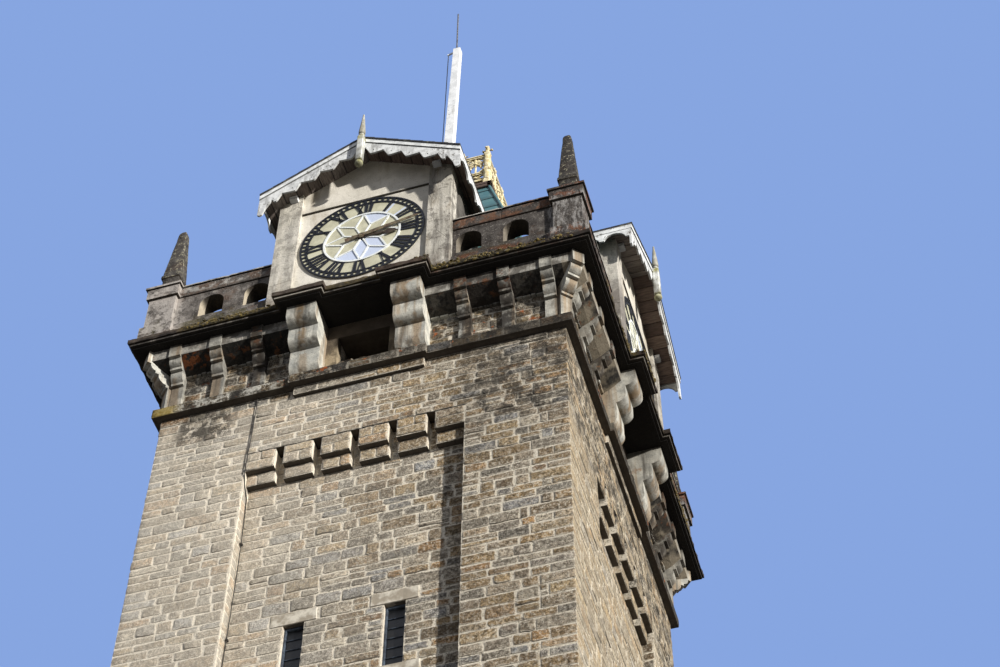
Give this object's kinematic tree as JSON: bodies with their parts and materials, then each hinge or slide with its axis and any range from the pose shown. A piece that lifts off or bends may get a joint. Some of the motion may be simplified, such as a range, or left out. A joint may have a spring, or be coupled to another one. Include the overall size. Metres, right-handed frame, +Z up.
{
  "type": "clock tower",
  "caption": "Square rubble-stone clock tower with recessed panels, corbelled gallery, gabled clock faces with turning hands, steep metal roof, cast cresting and flagpole.",
  "frame": {"origin": "on the ground at the middle of the tower's square base", "axes": "+Z up, the front clock face looks towards -Y, +X to the right of someone facing that clock"},
  "size_m": [7.1258, 7.1258, 36.81],
  "materials": {
    "rubble_stone": "coursed buff and grey rubble with pale mortar",
    "weathered_cement": "grey-black stained cement render with moss and rust marks",
    "corbel_cement": "light grey cement render, water stained",
    "gable_render": "cream painted render, stained",
    "floor_stone": "plain stone flags",
    "slate": "dark slate over boards",
    "roof_metal": "blue-green sheet metal",
    "deck_board": "dark brown painted boards",
    "white_timber": "white painted timber, chipped",
    "window_glass": "dirty leaded glass",
    "dial_glass": "cream opal glass",
    "dial_iron": "black painted casting",
    "hand_metal": "worn paint over metal",
    "crest_iron": "pale gold painted casting",
    "rod_metal": "dull metal rod",
    "rope_fibre": "weathered laid rope, taut"
  },
  "bodies": {
    "tower": {"plinth": "rubble_stone", "corner_pilasters": "rubble_stone", "front_panel": "rubble_stone", "right_panel": "rubble_stone", "back_panel": "rubble_stone", "left_panel": "rubble_stone", "panel_corbels": "rubble_stone", "upper_walls_front_back": "rubble_stone", "upper_walls_sides": "rubble_stone", "string_course": "rubble_stone", "bay_ledges": "rubble_stone", "ground_floor": "floor_stone", "slit_windows": "window_glass", "big_corbels": "corbel_cement", "small_corbels": "corbel_cement", "corner_corbels": "corbel_cement", "corbel_lintels": "corbel_cement", "cornice": "weathered_cement", "parapets": "weathered_cement", "parapet_copings": "weathered_cement", "corner_piers": "weathered_cement", "pinnacles": "weathered_cement", "roof_front_back": "roof_metal", "roof_sides": "roof_metal", "roof_deck": "deck_board", "gable_walls": "gable_render", "gable_cheeks": "gable_render", "gable_roofs": "slate", "bargeboards": "white_timber", "eave_boards": "white_timber", "gable_finials": "white_timber", "flagpole": "white_timber", "dial_glasses": "dial_glass", "dial_frames": "dial_iron", "cresting": "crest_iron", "cresting_posts": "crest_iron", "lightning_rod": "rod_metal", "halyard": "rope_fibre"},
    "front_minute_hand": {"front_minute_hand": "hand_metal"},
    "front_hour_hand": {"front_hour_hand": "hand_metal"},
    "right_minute_hand": {"right_minute_hand": "hand_metal"},
    "right_hour_hand": {"right_hour_hand": "hand_metal"},
    "back_minute_hand": {"back_minute_hand": "hand_metal"},
    "back_hour_hand": {"back_hour_hand": "hand_metal"},
    "left_minute_hand": {"left_minute_hand": "hand_metal"},
    "left_hour_hand": {"left_hour_hand": "hand_metal"}
  },
  "joints": [
    {"name": "front_minute_turn", "type": "hinge", "parent": "tower", "child": "front_minute_hand", "pos_m": [0, -3.15, 24.947], "axis": [0, 1, 0], "continuous": true},
    {"name": "front_hour_turn", "type": "hinge", "parent": "tower", "child": "front_hour_hand", "pos_m": [0, -3.15, 24.947], "axis": [0, 1, 0], "continuous": true},
    {"name": "right_minute_turn", "type": "hinge", "parent": "tower", "child": "right_minute_hand", "pos_m": [3.15, 0, 24.947], "axis": [-1, 0, 0], "continuous": true},
    {"name": "right_hour_turn", "type": "hinge", "parent": "tower", "child": "right_hour_hand", "pos_m": [3.15, 0, 24.947], "axis": [-1, 0, 0], "continuous": true},
    {"name": "back_minute_turn", "type": "hinge", "parent": "tower", "child": "back_minute_hand", "pos_m": [0, 3.15, 24.947], "axis": [0, -1, 0], "continuous": true},
    {"name": "back_hour_turn", "type": "hinge", "parent": "tower", "child": "back_hour_hand", "pos_m": [0, 3.15, 24.947], "axis": [0, -1, 0], "continuous": true},
    {"name": "left_minute_turn", "type": "hinge", "parent": "tower", "child": "left_minute_hand", "pos_m": [-3.15, 0, 24.947], "axis": [1, 0, 0], "continuous": true},
    {"name": "left_hour_turn", "type": "hinge", "parent": "tower", "child": "left_hour_hand", "pos_m": [-3.15, 0, 24.947], "axis": [1, 0, 0], "continuous": true}
  ],
  "couplings": [
    {"joint": "front_hour_turn", "follows": "front_minute_turn", "ratio": 0.083333},
    {"joint": "right_minute_turn", "follows": "front_minute_turn", "ratio": 1},
    {"joint": "right_hour_turn", "follows": "front_minute_turn", "ratio": 0.083333},
    {"joint": "back_minute_turn", "follows": "front_minute_turn", "ratio": 1},
    {"joint": "back_hour_turn", "follows": "front_minute_turn", "ratio": 0.083333},
    {"joint": "left_minute_turn", "follows": "front_minute_turn", "ratio": 1},
    {"joint": "left_hour_turn", "follows": "front_minute_turn", "ratio": 0.083333}
  ]
}
